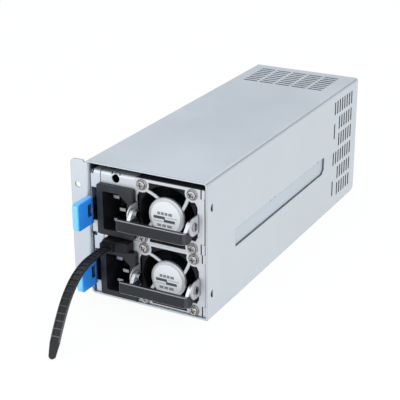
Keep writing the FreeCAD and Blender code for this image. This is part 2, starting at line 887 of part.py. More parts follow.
def fan_screws():
    """Pan-head screws that hold the fan behind the plate."""
    screws = []
    for x, z in screw_places():
        head = rod_y(-screw_head_height, 0, x, z, screw_head_radius)
        crown = [e for e in head.Edges if e.BoundBox.YMax < -screw_head_height / 2]
        head = head.makeChamfer(screw_head_chamfer, crown)
        shank = rod_y(0, fan_screw_length, x, z, fan_screw_radius)
        screws.append(union([head, shank]))
    return group(screws)


def guard_label():
    """Thin round label on the guard's disc."""
    return rod_y(-disc_lift - 0.2, -disc_lift, fan_x, fan_z, label_radius)


# ---------------------------------------------------------------- module: handle

def bail_handle():
    """Flat grip with its right end turned back, on two arms."""
    grip_foot = pivot_z - handle_drop - handle_height
    grip_top = pivot_z - handle_drop
    front = -handle_front
    rear = front + handle_thickness
    right = ear_right_x - 0.2
    left_arm = ear_left_x + plate_sheet + 0.2
    grip_plan = [
        (handle_left, front, 1.0),
        (right, front, handle_corner),
        (right, rear + 3.0),
        (right - arm_thickness, rear + 3.0),
        (right - arm_thickness, rear, 1.0),
        (handle_left, rear),
    ]
    grip = prism(grip_plan, "xy", grip_foot, grip_top)
    rim = [e for e in grip.Edges if e.BoundBox.ZLength < 0.01 and e.BoundBox.YMin < front + 0.01]
    grip = grip.makeChamfer(handle_chamfer, rim)
    eye = 3.2
    arm_side = [
        (rear - 1.0, grip_foot, 0.6),
        (rear + 3.0, grip_foot, 2.0),
        (-pivot_reach + eye, pivot_z - eye, 2.0),
        (-pivot_reach + eye, pivot_z + eye, 2.6),
        (-pivot_reach - eye, pivot_z + eye, 2.4),
        (rear - 1.0, grip_top, 0.6),
    ]
    arms = []
    for x in (left_arm, right - arm_thickness):
        arms.append(prism(arm_side, "yz", x, x + arm_thickness))
    corner_x = right - handle_corner
    corner_y = front + handle_corner
    corner = box(corner_x, right + 1, front - 1, corner_y, grip_foot - 1, grip_top + 1)
    outside = corner.cut(rod_z(grip_foot - 2, grip_top + 2, corner_x, corner_y, handle_corner))
    bore = rod_x(left_arm - 1, right + 1, -pivot_reach, pivot_z, pivot_radius + running_clearance)
    return union([grip] + arms).cut([bore, outside])


def handle_rivets():
    """Two rivets: each passes through an ear and an arm."""
    left_arm = ear_left_x + plate_sheet + 0.2
    left_end = left_arm + arm_thickness + 0.1
    right_arm = ear_right_x - 0.2 - arm_thickness
    right_start = right_arm - 0.1
    right_end = ear_right_x + plate_sheet
    rivets = []
    for x0, x1 in ((ear_left_x, left_end), (right_start, right_end)):
        shank = rod_x(x0, x1, -pivot_reach, pivot_z, pivot_radius)
        head = rod_x(x1, x1 + 0.9, -pivot_reach, pivot_z, 2.3)
        tail = rod_x(x0 - 0.7, x0, -pivot_reach, pivot_z, 2.0)
        rivets.append(union([shank, head, tail]))
    return group(rivets)


# ---------------------------------------------------------------- module: latch

def tab_left():
    """The tab's face towards the ear."""
    return latch_x + latch_strip + 1.1 - tab_thickness


def tab_pocket():
    """The pocket in the tab's right face; it goes on through the strip inside."""
    right = tab_left() + tab_thickness
    foot = tab_foot + tab_pocket_foot
    return box(right - tab_pocket_depth, right + 1, -tab_pocket_back - tab_pocket_length,
               -tab_pocket_back, foot, foot + tab_pocket_height)


def latch_spring():
    """Steel strip: barrel round the pin, hook towards the wall, end inside the tab."""
    foot = tab_foot + 2.1
    top = tab_foot + tab_height - 2.3
    hook_y = latch_pivot_depth - 14
    hook_z = tab_foot + tab_height / 2
    strip = box(latch_x, latch_x + latch_strip, -10, latch_pivot_depth, foot, top)
    ring = rod_z(foot, top, latch_pivot_x, latch_pivot_depth, latch_pivot_x - latch_x)
    hook = [
        (latch_x, hook_y + 1.2),
        (inner_left + 0.15, hook_y + 1.2),
        (inner_left + 0.15, hook_y + 0.2),
        (latch_x, hook_y - 2.2),
    ]
    tongue = prism(hook, "xy", hook_z - 2.6, hook_z + 2.6)
    bore = rod_z(foot - 1, top + 1, latch_pivot_x, latch_pivot_depth,
                 latch_pin_radius + running_clearance)
    return union([strip, ring, tongue]).cut([bore, tab_pocket()])


def latch_tab():
    """Moulded grip on the end of the strip, with a pocket near its root."""
    root = -tab_back
    top = tab_foot + tab_height
    side = [
        (root, tab_foot, 0.8),
        (root, top, 0.8),
        (-tab_reach, top, 2.4),
        (-tab_reach, tab_foot, 2.4),
    ]
    block = prism(side, "yz", tab_left(), tab_left() + tab_thickness)
    rim = [e for e in block.Edges if e.BoundBox.XLength < 0.01 and e.BoundBox.YMin < -tab_reach / 3]
    block = block.makeChamfer(0.5, rim)
    return block.cut([tab_pocket(), latch_spring()])


def latch_pin():
    """Upright pin with a small head, standing on the case floor."""
    foot = case_bottom + case_sheet
    top = tab_foot + tab_height - 2.0
    shaft = rod_z(foot, top, latch_pivot_x, latch_pivot_depth, latch_pin_radius)
    head = rod_z(top, top + 0.8, latch_pivot_x, latch_pivot_depth, latch_pin_radius + 0.7)
    collar = rod_z(foot, foot + 0.8, latch_pivot_x, latch_pivot_depth, latch_pin_radius + 0.7)
    return union([shaft, head, collar])


# ---------------------------------------------------------------- module: electronics

def main_board():
    """Circuit board whose rear tongue plugs into the backplane."""
    top = board_height + board_thickness
    left = case_left + case_sheet + 0.8
    right = case_right - case_sheet - 0.8
    x = tongue_centre()
    half = tongue_width / 2
    back = case_back - case_sheet - 0.6
    plan = [
        (left, board_start),
        (right, board_start),
        (right, back),
        (x + half, back),
        (x + half, case_back + board_tongue, 1.0),
        (x - half, case_back + board_tongue, 1.0),
        (x - half, back),
        (left, back),
    ]
    return prism(plan, "xy", board_height, top)


def edge_contacts():
    """Contact fingers on both faces of the tongue."""
    fingers = []
    x = tongue_centre()
    count = 10
    pitch = (tongue_width - 4) / count
    top = board_height + board_thickness
    leaf = 0.05
    for i in range(count):
        x0 = x - tongue_width / 2 + 2 + i * pitch + 0.5
        for z0 in (board_height - leaf, top):
            fingers.append(box(x0, x0 + pitch - 1.0, case_back + 1, case_back + board_tongue - 1,
                               z0, z0 + leaf))
    return group(fingers)


def bulk_capacitor():
    """Large capacitor lying behind the fan."""
    floor = board_height + board_thickness
    radius = min(13.0, (case_top - case_sheet - floor) / 2 - 0.6)
    x = case_right - 22
    y0 = board_start + 6
    can = rod_y(y0, y0 + 45, x, floor + radius, radius)
    return can.makeChamfer(1.0, [e for e in can.Edges if e.BoundBox.YLength < 0.01])


def line_filter():
    """Common-mode choke: a wound ring standing on its base."""
    floor = board_height + board_thickness
    x = case_left + 19
    y = board_start + 16
    outer = 11.5
    inner = 4.0
    half = 4.4
    z = floor + outer + 1.0
    ring = rod_y(y - half, y + half, x, z, outer).cut(rod_y(y - half, y + half, x, z, inner))
    ring = ring.makeChamfer(1.4, [e for e in ring.Edges if e.BoundBox.YLength < 0.01])
    base = box(x - 12, x + 12, y - 5, y + 5, floor, floor + 2.4)
    return union([base, ring])


def transformer():
    """Ferrite core halves round a wound bobbin."""
    floor = board_height + board_thickness
    x = case_left + 24
    y0 = board_start + 64
    high = min(26.0, case_top - case_sheet - floor - 1)
    core = box(x - 15, x + 15, y0, y0 + 30, floor + 2, floor + high)
    window = box(x - 11, x + 11, y0 - 1, y0 + 31, floor + 7, floor + high - 5)
    winding = rod_y(y0 - 3, y0 + 33, x, floor + 2 + (high - 2) / 2, (high - 12) / 2 + 0.5)
    base = box(x - 13, x + 13, y0 + 3, y0 + 27, floor, floor + 2)
    return union([core.cut(window), winding, base])


def heat_sinks():
    """Two extruded coolers with fins, standing on the board."""
    floor = board_height + board_thickness
    high = min(26.0, case_top - case_sheet - floor - 1)
    sinks = []
    long_one = (case_right - 12, board_start + 60, case_back - 19.1)
    short_one = (case_left + 8, board_start + 104, case_back - 11.1)
    for x, y0, y1 in (long_one, short_one):
        web = box(x - 1.2, x + 1.2, y0, y1, floor, floor + high)
        fins = [box(x - 5, x + 5, y0, y1, floor + z, floor + z + 1.2)
                for z in (7.0, 13.0, 19.0, high - 1.2)]
        sinks.append(union([web] + fins))
    return group(sinks)


def output_capacitors():
    """Row of small capacitors before the tongue."""
    floor = board_height + board_thickness
    cans = []
    for i in range(5):
        can = rod_z(floor, floor + 16, case_left + 24 + i * 8.6, case_back - 14, 3.9)
        cans.append(can)
    return group(cans)


# ---------------------------------------------------------------- cable strap

def strap_point(along, z):
    """A point of the strap's upright plane, as a point in space."""
    turn = math.radians(strap_heading)
    x = strap_start[0] + along * math.sin(turn)
    y = strap_start[1] - along * math.cos(turn)
    return Vector(x, y, z)


def strap_across():
    """Unit vector across the strap's width."""
    turn = math.radians(strap_heading)
    return Vector(math.cos(turn), math.sin(turn), 0)


def strap_radii():
    """The radius of the bend at each inner point of the route."""
    radii = []
    for before, here, after in zip(strap_route, strap_route[1:], strap_route[2:]):
        first = math.dist(before, here)
        second = math.dist(here, after)
        heading_in = math.atan2(here[1] - before[1], here[0] - before[0])
        heading_out = math.atan2(after[1] - here[1], after[0] - here[0])
        turn = abs(heading_out - heading_in)
        radii.append(0.45 * min(first, second) / math.tan(turn / 2))
    return radii


def tie_strap():
    """Flat strap along its route, with a rounded tip."""
    radii = [0] + strap_radii() + [0]
    corners = [(along, z, radius) for (along, z), radius in zip(strap_route, radii)]
    path = Part.Wire(rounded_edges(corners, False, strap_point))
    start = strap_point(*strap_route[0])
    across = strap_across() * (strap_width / 2)
    rise = (strap_point(*strap_route[1]) - start).normalize().cross(across).normalize()
    rise = rise * (strap_thickness / 2)
    section = [start + across + rise, start - across + rise, start - across - rise, start + across - rise]
    strap = path.makePipeShell([Part.makePolygon(section + section[:1])], True, True)
    tip = strap_point(*strap_route[-1])
    ahead = (tip - strap_point(*strap_route[-2])).normalize()
    normal = ahead.cross(strap_across())
    centre = tip - ahead * (strap_width / 2)
    reach = 3 * strap_thickness
    keep = Part.makeCylinder(strap_width / 2, 2 * reach, centre - normal * reach, normal)
    end = Part.makeBox(2 * strap_width, 2 * reach, 2 * strap_width)
    end.translate(Vector(-strap_width, -reach, 0))
    facing = FreeCAD.Rotation(strap_across(), normal, ahead, "XZY")
    end.Placement = FreeCAD.Placement(centre, facing) * end.Placement
    return strap.cut(end.cut(keep))


def tie_head():
    """Strap head: a block on the lower module's plate, its anchor and a round boss."""
    plate = lower_set_back
    centre_z = lower_base + tie_hole_z
    foot = min(centre_z - 3.4, strap_route[0][1] - 1.9)
    body = frame_prism(tie_hole_x - 6.9, tie_hole_x + 9.5, foot, centre_z + 2.7, 0.8, "xz",
                       strap_start[1] + 1.8, plate)
    across = strap_across()
    mouth_foot = strap_point(-0.1, strap_route[0][1] - 2.3)
    mouth = Part.makeBox(strap_width + 2.4, 4.5, 4.6)
    mouth.rotate(Vector(0, 0, 0), Vector(0, 0, 1), strap_heading)
    mouth.translate(mouth_foot - across * (strap_width / 2 + 1.2))
    mouth = mouth.cut(box(0, 60, plate, plate + 40, -50, 90))
    stem = rod_y(plate, plate + 5, tie_hole_x, centre_z, tie_hole_radius - 0.9)
    barb = [
        (tie_hole_x - tie_hole_radius - 0.6, plate + plate_sheet + 0.3),
        (tie_hole_x + tie_hole_radius + 0.6, plate + plate_sheet + 0.3),
        (tie_hole_x + 0.8, plate + 5.6),
        (tie_hole_x - 0.8, plate + 5.6),
    ]
    barbs = prism(barb, "xy", centre_z - 1.1, centre_z + 1.1)
    return union([body, mouth, stem, barbs])


# ---------------------------------------------------------------- export

def save(name, shape):
    """Move the origin to the middle of the cage's bottom face and write the piece."""
    placed = shape.copy()
    placed.translate(Vector(-cage_width / 2, -cage_depth / 2, 0))
    solids = placed.Solids
    valid = placed.isValid()
    print(f"{name:26s} solids {len(solids):2d} volume {placed.Volume:10.1f} valid {valid}")
    if len(solids) == 1:
        placed = solids[0]
    placed.exportStep(f"parts/{name}.step")


cage_pieces = {
    "cage_cover": cage_cover,
    "cage_base": cage_base,
    "cage_rear": cage_rear,
    "cable_bushing": cable_bushing,
    "middle_rails": middle_rails,
    "floor_guides": floor_guides,
    "backplane_board": backplane_board,
    "backplane_brackets": backplane_brackets,
    "board_screws": board_screws,
    "backplane_connectors": backplane_connectors,
    "output_headers": output_headers,
    "tie_head": tie_head,
    "tie_strap": tie_strap,
}

module_pieces = {
    "front_plate": front_plate,
    "case_base": case_base,
    "case_cover": case_cover,
    "inlet_body": inlet_body,
    "inlet_pins": inlet_pins,
    "fan_frame": fan_frame,
    "fan_rotor": fan_rotor,
    "fan_screws": fan_screws,
    "guard_label": guard_label,
    "handle": bail_handle,
    "handle_rivets": handle_rivets,
    "latch_spring": latch_spring,
    "latch_tab": latch_tab,
    "latch_pin": latch_pin,
    "main_board": main_board,
    "edge_contacts": edge_contacts,
    "bulk_capacitor": bulk_capacitor,
    "line_filter": line_filter,
    "transformer": transformer,
    "heat_sinks": heat_sinks,
    "output_capacitors": output_capacitors,
}


def main():
    os.makedirs("parts", exist_ok=True)
    for name, make in cage_pieces.items():
        save(name, make())
    for name, make in module_pieces.items():
        piece = make()
        for place, (front, base) in zip(("upper", "lower"), module_seats()):
            copy = piece.copy()
            copy.translate(Vector(0, front, base))
            save(f"{place}_{name}", copy)
    bends = ", ".join(f"{radius:.1f}" for radius in strap_radii())
    print("strap bend radii:", bends)


main()
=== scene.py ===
import math

import bmesh
import bpy
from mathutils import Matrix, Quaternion, Vector


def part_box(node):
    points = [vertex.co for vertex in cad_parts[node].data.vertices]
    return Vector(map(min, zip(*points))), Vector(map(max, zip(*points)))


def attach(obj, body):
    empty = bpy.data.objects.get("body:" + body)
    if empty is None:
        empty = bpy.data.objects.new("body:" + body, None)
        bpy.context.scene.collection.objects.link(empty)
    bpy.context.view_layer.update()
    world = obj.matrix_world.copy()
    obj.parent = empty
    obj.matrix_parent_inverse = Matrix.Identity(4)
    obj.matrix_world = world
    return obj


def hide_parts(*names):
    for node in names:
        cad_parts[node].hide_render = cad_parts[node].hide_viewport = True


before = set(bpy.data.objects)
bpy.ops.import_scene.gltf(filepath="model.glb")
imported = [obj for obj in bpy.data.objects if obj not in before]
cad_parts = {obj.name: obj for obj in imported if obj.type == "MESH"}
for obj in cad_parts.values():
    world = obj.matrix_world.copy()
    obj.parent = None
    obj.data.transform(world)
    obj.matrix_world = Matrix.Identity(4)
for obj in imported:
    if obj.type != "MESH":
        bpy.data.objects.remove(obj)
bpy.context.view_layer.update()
MM = 0.001
MODULES = ("upper", "lower")

# where the camera stood and how near and far it sees, in metres, how it was turned, in degrees,
# and its lens and sensor, in millimetres
CAMERA_PLACE = (0.2944, -0.59556, 0.3000)
CAMERA_NEAREST = 0.01
CAMERA_FURTHEST = 100
CAMERA_AZIMUTH = 28.30
CAMERA_ELEVATION = 22.52
CAMERA_ROLL = -0.23
CAMERA_LENS = 100.58
CAMERA_SENSOR = 36

# square lamps that face one place: name, place and side in metres, power in watts, and colour
LAMPS_FACE = (0, 0, 0.04)
LAMPS = [
    ("key", (0.9, -0.55, 0.45), 1.8, 9.5, (0.99, 0.995, 0.99)),
    ("fill", (-0.5, -1.1, 0.35), 1.4, 9.0, (0.97, 0.98, 1.0)),
    ("top", (-0.1, 0.3, 1.2), 1.5, 6.4, (0.96, 0.98, 1.0)),
]

# the world as a light, and as the camera sees it
SKY_COLOUR = (0.93, 0.96, 1.0)
SKY_STRENGTH = 0.63
BACKDROP_STRENGTH = 1.0

# the floor: from its middle to its side in metres, how far it lies under the object, its colour,
# and the share of plain white in what the camera and reflections see of it
FLOOR_REACH = 6.0
FLOOR_DROP = 0.3 * MM
FLOOR_COLOUR = (0.93, 0.94, 0.95)
FLOOR_WHITE_SHARE = 0.93

# the strap's heading in degrees, where it leaves its head, and its route in millimetres, the same
# points as in the part's source: along the heading, and height
STRAP_HEADING = 7.2
STRAP_START = (-22.4 * MM, -118.8 * MM)
STRAP_ROUTE = [
    (0.0, 34.6),
    (12.0, 36.1),
    (25.5, 36.7),
    (38.0, 34.0),
    (49.2, 27.2),
    (57.8, 17.5),
    (64.8, 7.5),
    (68.6, 0.7),
]

# the strap's section: two rails of its full thickness, and a thin web between them
STRAP_WIDTH = 5.6 * MM
STRAP_THICKNESS = 1.2 * MM
RAIL_WIDTH = 0.55 * MM
WEB_ABOVE_FOOT = 0.1 * MM

# along the strap: the full stretch at its head, and the ribs across its web, the first of them
# after a share of their pitch
STRAP_FULL_STRETCH = 3.0 * MM
RIB_LENGTH = 0.6 * MM
RIB_PITCH = 4.1 * MM
RIB_FIRST = 0.8
RIB_BELOW_RAILS = 0.05 * MM

# the strap's plain tip: the share of the width that it narrows to, and its rounded nose, whose
# length is a share of half the width, with the square of how wide the nose's own end stays
TIP_LENGTH = 9.0 * MM
TIP_NARROWS_TO = 0.62
NOSE_SHARE = 0.6
NOSE_LEAST = 0.02

# how many points the strap's spline gives for each of the route's points, and how many steps
# the strap's blocks are bent in
LINE_STEPS = 24
RAIL_STEPS = 90
FULL_STEPS = 6
RIB_STEPS = 2
TIP_STEPS = 20

# the fans' screws, and the cross recess in their heads
SCREW_RADIUS = 3.1 * MM
SCREW_HEIGHT = 2.0 * MM
SHANK_RADIUS = 1.25 * MM
SHANK_LENGTH = 10.0 * MM
SHANK_CHAMFER = 0.8 * MM
SHANK_END_SHARE = 0.6
RECESS_REACH = 1.75 * MM
RECESS_HALF_WIDTH = 0.5 * MM
RECESS_DEPTH = 1.3 * MM
RECESS_FLOOR_REACH = 0.55 * RECESS_REACH
RECESS_FLOOR_HALF_WIDTH = 0.6 * RECESS_HALF_WIDTH
SCREW_SEGMENTS = 40

# a screw head's outline, as shares of its radius and its height: a flange, a groove and a crown
SCREW_HEAD = [
    (1.0, 0.0),
    (1.0, 0.36),
    (0.94, 0.48),
    (0.88, 0.46),
    (0.86, 0.30),
    (0.80, 0.30),
    (0.79, 0.70),
    (0.73, 0.88),
    (0.65, 0.97),
]

# how far each fan's first screw is turned, and each next one more, in radians
SCREW_TWIST = {"upper": 0.35, "lower": 0.9}
SCREW_TWIST_STEP = 1.3


# ---------------------------------------------------------------- camera, floor and light

def add_camera():
    data = bpy.data.cameras.new("camera")
    camera = bpy.data.objects.new("camera", data)
    bpy.context.scene.collection.objects.link(camera)
    azimuth = math.radians(CAMERA_AZIMUTH)
    elevation = math.radians(CAMERA_ELEVATION)
    back = Vector((
        math.sin(azimuth) * math.cos(elevation),
        -math.cos(azimuth) * math.cos(elevation),
        math.sin(elevation),
    ))
    camera.rotation_mode = "QUATERNION"
    level = (-back).to_track_quat("-Z", "Y")
    camera.rotation_quaternion = level @ Quaternion((0, 0, 1), math.radians(CAMERA_ROLL))
    camera.location = CAMERA_PLACE
    data.lens = CAMERA_LENS
    data.sensor_width = CAMERA_SENSOR
    data.clip_start = CAMERA_NEAREST
    data.clip_end = CAMERA_FURTHEST
    bpy.context.scene.camera = camera


def add_lights():
    """A broad key from the front right, a fill from the front left and a weaker top light."""
    for name, place, side, power, colour in LAMPS:
        data = bpy.data.lights.new(name, "AREA")
        data.shape = "SQUARE"
        data.size = side
        data.energy = power
        data.color = colour
        light = bpy.data.objects.new(name, data)
        light.location = place
        light.rotation_mode = "QUATERNION"
        light.rotation_quaternion = (Vector(LAMPS_FACE) - Vector(place)).to_track_quat("-Z", "Y")
        bpy.context.scene.collection.objects.link(light)


def add_world():
    """White where the camera sees it, and a softer sky as light and in reflections."""
    world = bpy.data.worlds.new("studio")
    bpy.context.scene.world = world
    world.use_nodes = True
    tree = world.node_tree
    tree.nodes.clear()
    out = tree.nodes.new("ShaderNodeOutputWorld")
    mix = tree.nodes.new("ShaderNodeMixShader")
    sky = tree.nodes.new("ShaderNodeBackground")
    backdrop = tree.nodes.new("ShaderNodeBackground")
    path = tree.nodes.new("ShaderNodeLightPath")
    sky.inputs["Color"].default_value = (*SKY_COLOUR, 1)
    sky.inputs["Strength"].default_value = SKY_STRENGTH
    backdrop.inputs["Color"].default_value = (1, 1, 1, 1)
    backdrop.inputs["Strength"].default_value = BACKDROP_STRENGTH
    tree.links.new(path.outputs["Is Camera Ray"], mix.inputs["Fac"])
    tree.links.new(sky.outputs["Background"], mix.inputs[1])
    tree.links.new(backdrop.outputs["Background"], mix.inputs[2])
    tree.links.new(mix.outputs["Shader"], out.inputs["Surface"])


def floor_material():
    """Nearly plain white to the camera and in reflections, and a pale matt surface besides."""
    material = bpy.data.materials.new("floor")
    material.use_nodes = True
    tree = material.node_tree
    tree.nodes.clear()
    out = tree.nodes.new("ShaderNodeOutputMaterial")
    mix = tree.nodes.new("ShaderNodeMixShader")
    diffuse = tree.nodes.new("ShaderNodeBsdfDiffuse")
    glow = tree.nodes.new("ShaderNodeEmission")
    path = tree.nodes.new("ShaderNodeLightPath")
    either = tree.nodes.new("ShaderNodeMath")
    either.operation = "MAXIMUM"
    share = tree.nodes.new("ShaderNodeMath")
    share.operation = "MULTIPLY"
    share.inputs[1].default_value = FLOOR_WHITE_SHARE
    diffuse.inputs["Color"].default_value = (*FLOOR_COLOUR, 1)
    glow.inputs["Strength"].default_value = 1.0
    tree.links.new(path.outputs["Is Camera Ray"], either.inputs[0])
    tree.links.new(path.outputs["Is Glossy Ray"], either.inputs[1])
    tree.links.new(either.outputs[0], share.inputs[0])
    tree.links.new(share.outputs[0], mix.inputs["Fac"])
    tree.links.new(diffuse.outputs[0], mix.inputs[1])
    tree.links.new(glow.outputs[0], mix.inputs[2])
    tree.links.new(mix.outputs[0], out.inputs["Surface"])
    return material


def add_floor():
    """A wide white floor that keeps a faint shadow."""
    mesh = bpy.data.meshes.new("floor")
    reach = FLOOR_REACH
    corners = [(-reach, -reach, 0), (reach, -reach, 0), (reach, reach, 0), (-reach, reach, 0)]
    mesh.from_pydata(corners, [], [(0, 1, 2, 3)])
    mesh.materials.append(floor_material())
    floor = bpy.data.objects.new("floor", mesh)
    floor.location.z = -FLOOR_DROP
    bpy.context.scene.collection.objects.link(floor)


# ---------------------------------------------------------------- material helpers

class Shader:
    """A material with a Principled BSDF, and short ways to feed its sockets."""

    def __init__(self, name, colour, metallic=0.0, roughness=0.5):
        self.material = bpy.data.materials.new(name)
        self.material.use_nodes = True
        self.tree = self.material.node_tree
        self.bsdf = self.tree.nodes["Principled BSDF"]
        self.bsdf.inputs["Base Color"].default_value = (*colour, 1)
        self.bsdf.inputs["Metallic"].default_value = metallic
        self.bsdf.inputs["Roughness"].default_value = roughness

    def put(self, socket, value):
        """Gives a socket a value, or links it to another node's output."""
        if hasattr(value, "is_output"):
            self.tree.links.new(value, socket)
        else:
            socket.default_value = value

    def node(self, kind, **inputs):
        """A new shader node, with its inputs by name, an underscore standing for a space."""
        made = self.tree.nodes.new("ShaderNode" + kind)
        for key, value in inputs.items():
            self.put(made.inputs[key.replace("_", " ")], value)
        return made

    def feed(self, socket, value):
        """Links an output to a socket of the BSDF."""
        self.tree.links.new(value, self.bsdf.inputs[socket])

    def place(self, scale):
        """Object coordinates, stretched by a scale along each axis."""
        coords = self.tree.nodes.new("ShaderNodeTexCoord")
        mapping = self.node("Mapping", Vector=coords.outputs["Object"])
        mapping.inputs["Scale"].default_value = scale
        return mapping.outputs["Vector"]

    def noise(self, scale, detail=3.0, stretch=(1, 1, 1)):
        """Noise of a scale, in cells per metre."""
        made = self.node("TexNoise", Vector=self.place(stretch), Scale=scale, Detail=detail)
        return made.outputs["Fac"]

    def ramp(self, value, low, high, start=0.35, end=0.65):
        """Maps start..end of a value to low..high."""
        made = self.node("MapRange", Value=value)
        made.inputs["From Min"].default_value = start
        made.inputs["From Max"].default_value = end
        made.inputs["To Min"].default_value = low
        made.inputs["To Max"].default_value = high
        return made.outputs["Result"]

    def tint(self, value, low, high, start=0.35, end=0.65):
        """Mixes two colours by where a value stands between start and end."""
        return self.blend(self.ramp(value, 0, 1, start, end), low, high)

    def math(self, operation, *values):
        """Arithmetic on numbers and other nodes' outputs."""
        made = self.tree.nodes.new("ShaderNodeMath")
        made.operation = operation
        for socket, value in zip(made.inputs, values):
            self.put(socket, value)
        return made.outputs[0]

    def axes(self, kind="Object"):
        """The three parts of the object coordinates or of the surface normal."""
        coords = self.tree.nodes.new("ShaderNodeTexCoord")
        return self.node("SeparateXYZ", Vector=coords.outputs[kind]).outputs

    def blend(self, factor, first, second):
        """Mixes two colours, each a tuple or another node's output, by a factor."""
        mix = self.tree.nodes.new("ShaderNodeMix")
        mix.data_type = "RGBA"
        self.tree.links.new(factor, mix.inputs["Factor"])
        for socket, colour in ((mix.inputs["A"], first), (mix.inputs["B"], second)):
            self.put(socket, (*colour, 1) if isinstance(colour, tuple) else colour)
        return mix.outputs["Result"]

    def edge(self, radius):
        """About 1 along sharp edges and 0 on flat faces.

        It compares the face's own normal with the one that a rounded edge would have there.
        """
        bevel = self.node("Bevel", Radius=radius)
        flat = self.tree.nodes.new("ShaderNodeNewGeometry")
        dot = self.tree.nodes.new("ShaderNodeVectorMath")
        dot.operation = "DOT_PRODUCT"
        self.tree.links.new(bevel.outputs["Normal"], dot.inputs[0])
        self.tree.links.new(flat.outputs["Normal"], dot.inputs[1])
        return self.ramp(dot.outputs["Value"], 1, 0, 0.75, 0.99)

    def slanting(self, start, end):
        """1 where the surface faces between the axes, as on a fold, and 0 along an axis.

        A surface halfway between two axes has a largest part of 0.71.
        """
        facing = self.axes("Normal")
        shares = [self.math("ABSOLUTE", facing[axis]) for axis in "XYZ"]
        most = self.math("MAXIMUM", self.math("MAXIMUM", shares[0], shares[1]), shares[2])
        return self.ramp(most, 1, 0, start, end)

    def shut_in(self, distance, start, end):
        """1 where other surfaces stand round a point, within a distance, and 0 in the open."""
        open_sky = self.node("AmbientOcclusion", Distance=distance)
        return self.ramp(open_sky.outputs["AO"], 1, 0, start, end)

    def bump(self, height, strength, distance, radius=0.0):
        """Bump from a height, over edges rounded by a radius."""
        made = self.node("Bump", Height=height, Strength=strength, Distance=distance)
        if radius:
            bevel = self.node("Bevel", Radius=radius)
            self.tree.links.new(bevel.outputs["Normal"], made.inputs["Normal"])
        self.feed("Normal", made.outputs["Normal"])

    def specular(self, level):
        """Sets how much a surface that isn't metal reflects."""
        self.bsdf.inputs["Specular IOR Level"].default_value = level


def lighter(colour, share):
    """The colour, moved towards white by a share, or towards black by a negative one."""
    if share < 0:
        return tuple(c * (1 + share) for c in colour)
    return tuple(c + (1 - c) * share for c in colour)


def own_place(name, place):
    """A place in the scene, in a node's own coordinates."""
    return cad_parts[name].matrix_world.inverted() @ place


# ---------------------------------------------------------------- zinc-plated sheet

# noise scales in cells per metre: clouds, rolling lines, and how far the lines are drawn out
ZINC_CLOUDS = 18
ZINC_LINES = 900
LINE_STRETCH = 0.03

ZINC_METALLIC = 0.75
ZINC_ROUGHNESS = 0.42

# how much darker painted shade makes the zinc than its colour: along its edges, which are also dull
# where cut, on folds, inside the box and in crevices
CUT_EDGE_SHADE = -0.7
FOLD_SHADE = -0.4
INSIDE_SHADE = -0.8
CREVICE_SHADE = -0.85

# how far in from the cage's outer faces its painted inside shade begins, the size of its rounded
# # folds, which that shade leaves out, and how far the front edge of its base is left out too
UNSHADED_DEPTH = 0.35 * MM
CAGE_FOLD = 2.3 * MM
BASE_FRONT_EDGE = 2.5 * MM

# a black band of painted shade across the front of a module's lid, under the cage's cover, and how
# sharply it ends
SHADE_BAND_DEPTH = 12 * MM
SHADE_BAND_FADE = 0.2 * MM


def cage_corners():
    """The lowest and highest corners of the cage's folded box, without its ear."""
    return [Vector(corner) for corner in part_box("cage_cover")]


def cloudy(shader, cloud, colour):
    """The slightly uneven colour of zinc."""
    return shader.tint(cloud, lighter(colour, -0.025), lighter(colour, 0.04))


def zinc(name, colour, grain_axis, roughness=ZINC_ROUGHNESS, inside=None, crevice=0.0):
    """Electro-galvanised sheet: slightly cloudy, with faint rolling lines along one axis.

    Its edges are darker: its cut edges are dull, and painted shade darkens its edges. A folded box
    gets painted shade on its folds and inside too, and painted shade sits in crevices about as wide
    as the distance given.
    """
    shader = Shader(name, colour, metallic=ZINC_METALLIC, roughness=roughness)
    stretch = [1.0, 1.0, 1.0]
    stretch[grain_axis] = LINE_STRETCH
    cloud = shader.noise(ZINC_CLOUDS, 3)
    lines = shader.noise(ZINC_LINES, 2, stretch)
    shade = cloudy(shader, cloud, colour)
    # painted shade: every sharp edge is darker, as dull cut edges and as edges in shadow
    shade = shader.blend(shader.edge(0.6 * MM), shade, lighter(colour, CUT_EDGE_SHADE))
    if inside:
        # painted shade on the folds and on the box's inner faces
        shade = shader.blend(shader.slanting(0.72, 0.84), shade, lighter(colour, FOLD_SHADE))
        shade = shader.blend(inside_shade_mask(shader, *inside), shade, lighter(colour, INSIDE_SHADE))
    if crevice:
        # painted shade where other surfaces stand close round a point
        crevice_shade = shader.shut_in(crevice, 0.45, 0.8)
        shade = shader.blend(crevice_shade, shade, lighter(colour, CREVICE_SHADE))
    shader.feed("Base Color", shade)
    shader.feed("Roughness", shader.ramp(cloud, roughness - 0.03, roughness + 0.03))
    shader.bump(lines, 0.10, 0.03 * MM, 0.3 * MM)
    return shader.material


def inside_shade_mask(shader, low, high, front_edge):
    """Where the painted inside shade goes: 1 on a folded box's inner faces and cut edges, and 0 on
    its outer faces and round folds.

    The front edge, as deep as given, is left out.
    """
    parts = shader.axes()

    def depth(axis, start, end):
        across = shader.math("ABSOLUTE", shader.math("SUBTRACT", parts[axis], (start + end) / 2))
        return shader.math("SUBTRACT", (end - start) / 2, across)

    side = depth("X", low.x, high.x)
    upright = depth("Z", low.z, high.z)
    back = shader.math("SUBTRACT", high.y, parts["Y"])
    least = shader.math("MINIMUM", shader.math("MINIMUM", side, upright), back)
    inner = shader.math("GREATER_THAN", least, UNSHADED_DEPTH)
    behind = shader.math("GREATER_THAN", parts["Y"], low.y + front_edge)
    inner = shader.math("MULTIPLY", inner, behind)
    off_fold = shader.math("GREATER_THAN", shader.math("ADD", side, upright), CAGE_FOLD)
    return shader.math("MULTIPLY", inner, off_fold)


